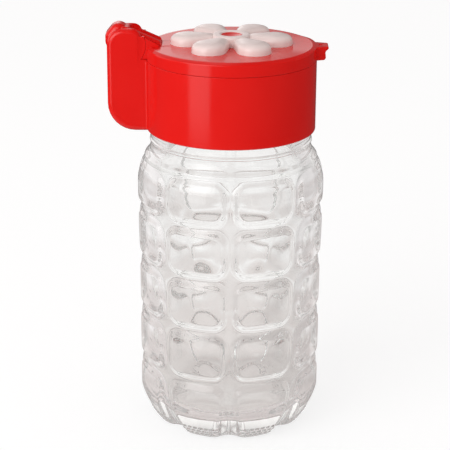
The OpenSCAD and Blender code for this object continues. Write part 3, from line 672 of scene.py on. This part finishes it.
# Studio
# A pale seamless floor, a wide soft lamp and a narrow strip lamp from the front left, a white surround that is
# brightest behind, and the camera at the photographed angle.
FLOOR_HALF = 3000
floor = add_piece("studio_floor", [(-FLOOR_HALF, -FLOOR_HALF, 0), (FLOOR_HALF, -FLOOR_HALF, 0),
                                   (FLOOR_HALF, FLOOR_HALF, 0), (-FLOOR_HALF, FLOOR_HALF, 0)], [(0, 1, 2, 3)])

# White studio paper, matt: nearly white to the camera, with a soft shadow. Seen through the glass it carries
# painted light, a glow that is warmer and dimmer near the foot and to the sides and brighter right under the foot;
# glossy rays see a painted reflection, bright only close by.
paper, tree, place, out = new_material("white_studio_paper")
ray = add_node(tree, "ShaderNodeLightPath").outputs
away = add_node(tree, "ShaderNodeVectorMath", {}, {0: place}, operation="LENGTH").outputs["Value"]
# Painted light and shade: seen through the glass the paper glows, less close to the foot and more farther off.
close_glow = add_node(tree, "ShaderNodeMapRange",
                      {"From Min": 0.022, "From Max": 0.07, "To Min": 0.42, "To Max": 0.5},
                      {"Value": away}).outputs["Result"]
far_glow = add_node(tree, "ShaderNodeMapRange", {"From Min": 0.1, "From Max": 0.25, "To Min": 0.0, "To Max": 0.24},
                    {"Value": away}).outputs["Result"]
glass_glow = add_node(tree, "ShaderNodeMath", {}, {0: close_glow, 1: far_glow}, operation="ADD").outputs[0]
across = add_node(tree, "ShaderNodeSeparateXYZ", {}, {0: place}).outputs["X"]
aside = add_node(tree, "ShaderNodeMath", {}, {0: across, 1: away}, operation="DIVIDE").outputs[0]
# Painted shade: the glow seen through the glass falls off to the right and a little to the left, except right round
# the foot.
right_fall = add_node(tree, "ShaderNodeMapRange",
                      {"From Min": 0.3, "From Max": 0.95, "To Min": 1.0, "To Max": 0.55},
                      {"Value": aside}).outputs["Result"]
left_fall = add_node(tree, "ShaderNodeMapRange",
                     {"From Min": -0.95, "From Max": -0.3, "To Min": 0.75, "To Max": 1.0},
                     {"Value": aside}).outputs["Result"]
sides = add_node(tree, "ShaderNodeMath", {}, {0: right_fall, 1: left_fall}, operation="MULTIPLY").outputs[0]
off_foot = add_node(tree, "ShaderNodeMapRange", {"From Min": 0.028, "From Max": 0.05},
                    {"Value": away}).outputs["Result"]
sides = add_node(tree, "ShaderNodeMix", {"A": 1.0}, {"Factor": off_foot, "B": sides}).outputs[0]
glass_glow = add_node(tree, "ShaderNodeMath", {}, {0: glass_glow, 1: sides}, operation="MULTIPLY").outputs[0]
# Painted light: a pool of extra glow right under the foot, where the glass would let light through.
painted_light_under_foot = add_node(tree, "ShaderNodeMapRange",
                      {"From Min": 0.014, "From Max": 0.024, "To Min": 0.22, "To Max": 0.0},
                      {"Value": away}).outputs["Result"]
glass_glow = add_node(tree, "ShaderNodeMath", {}, {0: glass_glow, 1: painted_light_under_foot}, operation="ADD").outputs[0]
camera_glow = add_node(tree, "ShaderNodeMath", {1: 0.76}, {0: ray["Is Camera Ray"]},
                       operation="MULTIPLY").outputs[0]
glow_level = add_node(tree, "ShaderNodeMath", {}, {0: ray["Is Transmission Ray"], 1: glass_glow, 2: camera_glow},
                      operation="MULTIPLY_ADD").outputs[0]
far = add_node(tree, "ShaderNodeMapRange", {"From Min": 0.05, "From Max": 0.2}, {"Value": away}).outputs["Result"]
# Painted tint: the glow seen through the glass is pinker close to the foot and faintly lavender farther off.
glass_tint = add_node(tree, "ShaderNodeMix", {"A": linear("#FFF3F2"), "B": linear("#FDFAFC")}, {"Factor": far},
                      data_type="RGBA").outputs["Result"]
glow_tint = add_node(tree, "ShaderNodeMix", {"A": linear("#FFFFFF")},
                     {"Factor": ray["Is Transmission Ray"], "B": glass_tint}, data_type="RGBA").outputs["Result"]
glow = add_node(tree, "ShaderNodeEmission", {}, {"Color": glow_tint, "Strength": glow_level})
shade = add_node(tree, "ShaderNodeMix", {"A": linear("#DDD9D8"), "B": linear("#989898")},
                 {"Factor": ray["Is Camera Ray"]}, data_type="RGBA").outputs["Result"]
# Painted reflection: to glossy rays the paper is bright close to the shaker and dark farther off.
near = add_node(tree, "ShaderNodeMapRange", {"From Min": 0.1, "From Max": 0.26, "To Min": 1.0, "To Max": 0.0},
                {"Value": away}).outputs["Result"]
painted_reflection = add_node(tree, "ShaderNodeMix", {"A": linear("#5A5858"), "B": linear("#E0DCDA")}, {"Factor": near},
                        data_type="RGBA").outputs["Result"]
shade = add_node(tree, "ShaderNodeMix", {}, {"Factor": ray["Is Glossy Ray"], "A": shade, "B": painted_reflection},
                 data_type="RGBA").outputs["Result"]
# Painted shade: seen through the glass the paper's own colour is darker.
shade = add_node(tree, "ShaderNodeMix", {"B": linear("#BBB7B6")},
                 {"Factor": ray["Is Transmission Ray"], "A": shade}, data_type="RGBA").outputs["Result"]
matt = add_node(tree, "ShaderNodeBsdfDiffuse", {}, {"Color": shade})
shown = add_node(tree, "ShaderNodeAddShader", {}, {0: glow.outputs[0], 1: matt.outputs[0]})
tree.links.new(shown.outputs[0], out.inputs["Surface"])
floor.data.materials.append(paper)

# The surround: white to the camera. Gloss and glass see it bright behind, and dimmer in front, overhead and to
# the right, which gives every curve a light side and a dark side.
world = bpy.data.worlds.new("studio_surround")
bpy.context.scene.world = world
world.use_nodes = True
tree = world.node_tree
tree.nodes.clear()
ray = add_node(tree, "ShaderNodeLightPath").outputs
direction = add_node(tree, "ShaderNodeTexCoord").outputs["Generated"]
sight = add_node(tree, "ShaderNodeSeparateXYZ", {}, {"Vector": direction}).outputs
walls = add_node(tree, "ShaderNodeMapRange", {"From Min": 0.1, "From Max": 0.9, "To Min": 0.85, "To Max": 0.5},
                 {"Value": sight["Z"]}, interpolation_type="SMOOTHSTEP").outputs["Result"]
behind = add_node(tree, "ShaderNodeMapRange", {"From Min": -0.5, "From Max": 0.5, "To Min": 0.25, "To Max": 1.1},
                  {"Value": sight["Y"]}, interpolation_type="SMOOTHSTEP").outputs["Result"]
overhead = add_node(tree, "ShaderNodeMapRange", {"From Min": 0.15, "From Max": 0.7, "To Min": 1.0, "To Max": 0.4},
                    {"Value": sight["Z"]}, interpolation_type="SMOOTHSTEP").outputs["Result"]
mirrored = add_node(tree, "ShaderNodeMath", {}, {0: behind, 1: overhead}, operation="MULTIPLY").outputs[0]
backdrop_right = add_node(tree, "ShaderNodeMapRange",
                          {"From Min": -0.08, "From Max": 0.07, "To Min": 1.3, "To Max": 0.15},
                          {"Value": sight["X"]}).outputs["Result"]
backdrop_left = add_node(tree, "ShaderNodeMapRange",
                         {"From Min": -0.24, "From Max": -0.12, "To Min": 0.5, "To Max": 1.0},
                         {"Value": sight["X"]}).outputs["Result"]
backdrop = add_node(tree, "ShaderNodeMath", {}, {0: backdrop_left, 1: backdrop_right},
                    operation="MULTIPLY").outputs[0]
bright_side = add_node(tree, "ShaderNodeMapRange",
                       {"From Min": -1.0, "From Max": -0.3, "To Min": 1.7, "To Max": 1.0},
                       {"Value": sight["X"]}).outputs["Result"]
gloss_side = add_node(tree, "ShaderNodeMath", {}, {0: backdrop, 1: bright_side}, operation="MULTIPLY").outputs[0]
gloss_level = add_node(tree, "ShaderNodeMath", {}, {0: mirrored, 1: gloss_side}, operation="MULTIPLY").outputs[0]
level = add_node(tree, "ShaderNodeMix", {},
                 {"Factor": ray["Is Glossy Ray"], "A": walls, "B": gloss_level}).outputs[0]
right_fall = add_node(tree, "ShaderNodeMapRange", {"From Min": 0.2, "From Max": 0.8, "To Min": 1.0, "To Max": 0.5},
                      {"Value": sight["X"]}).outputs["Result"]
left_fall = add_node(tree, "ShaderNodeMapRange",
                     {"From Min": -0.8, "From Max": -0.2, "To Min": 0.75, "To Max": 1.0},
                     {"Value": sight["X"]}).outputs["Result"]
sides = add_node(tree, "ShaderNodeMath", {}, {0: right_fall, 1: left_fall}, operation="MULTIPLY").outputs[0]
seen_through = add_node(tree, "ShaderNodeMath", {}, {0: mirrored, 1: sides}, operation="MULTIPLY").outputs[0]
seen_through = add_node(tree, "ShaderNodeMath", {1: 0.57}, {0: seen_through}, operation="MAXIMUM").outputs[0]
level = add_node(tree, "ShaderNodeMix", {},
                 {"Factor": ray["Is Transmission Ray"], "A": level, "B": seen_through}).outputs[0]
level = add_node(tree, "ShaderNodeMix", {"B": 1.0}, {"Factor": ray["Is Camera Ray"], "A": level}).outputs[0]
tint = add_node(tree, "ShaderNodeMix", {"A": linear("#FFFBFA"), "B": linear("#FFFFFF")},
                {"Factor": ray["Is Camera Ray"]}, data_type="RGBA").outputs["Result"]
surround = add_node(tree, "ShaderNodeBackground", {}, {"Color": tint, "Strength": level})
add_node(tree, "ShaderNodeOutputWorld", {}, {"Surface": surround.outputs[0]})

# The wide lamp is kept out of sight through the glass, where its image would be a hard white patch in the heel.
LAMPS = [("high_soft_lamp", (-0.72, -0.80, 0.68), (1.1, 1.1), 6.2, False),
         ("side_strip_lamp", (-0.20, -0.225, 0.15), (0.155, 0.29), 0.16, True)]
for name, lamp_place, lamp_size, power, through_glass in LAMPS:
    soft_lamp = bpy.data.lights.new(name, "AREA")
    soft_lamp.shape, soft_lamp.energy = "RECTANGLE", power
    soft_lamp.size, soft_lamp.size_y = lamp_size
    lamp = bpy.data.objects.new(name, soft_lamp)
    bpy.context.scene.collection.objects.link(lamp)
    lamp.location = lamp_place
    lamp.visible_transmission = through_glass
    lamp.rotation_mode = "QUATERNION"
    lamp.rotation_quaternion = (Vector((0, 0, min(0.15, lamp_place[2]))) - lamp.location).to_track_quat("-Z", "Y")

IMAGE_SIDE, FOCAL_PIXELS, SENSOR_MM = 450, 1555, 36
CAMERA_PLACE_MM = (0, -400.6, 196.9)
YAW, PITCH, ROLL = math.radians(-0.205), math.radians(-19.489), math.radians(0.338)
forward = Vector((math.sin(YAW) * math.cos(PITCH), math.cos(YAW) * math.cos(PITCH), math.sin(PITCH)))
right = Vector((math.cos(YAW), -math.sin(YAW), 0))
upward = right.cross(forward)
image_right = right * math.cos(ROLL) + upward * math.sin(ROLL)
image_up = upward * math.cos(ROLL) - right * math.sin(ROLL)
view = bpy.data.cameras.new("photo_camera")
view.sensor_width, view.lens = SENSOR_MM, FOCAL_PIXELS / IMAGE_SIDE * SENSOR_MM
camera = bpy.data.objects.new("photo_camera", view)
bpy.context.scene.collection.objects.link(camera)
camera_turn = Matrix((image_right, image_up, -forward)).transposed().to_4x4()
camera.matrix_world = Matrix.Translation(Vector(CAMERA_PLACE_MM) * MM) @ camera_turn
bpy.context.scene.camera = camera
bpy.context.scene.view_settings.view_transform = "Standard"
# Thick pressed glass sends light round inside it many times before it comes out.
LIGHT_TURNS = 40
light_paths = bpy.context.scene.cycles
light_paths.max_bounces = light_paths.transmission_bounces = light_paths.glossy_bounces = LIGHT_TURNS
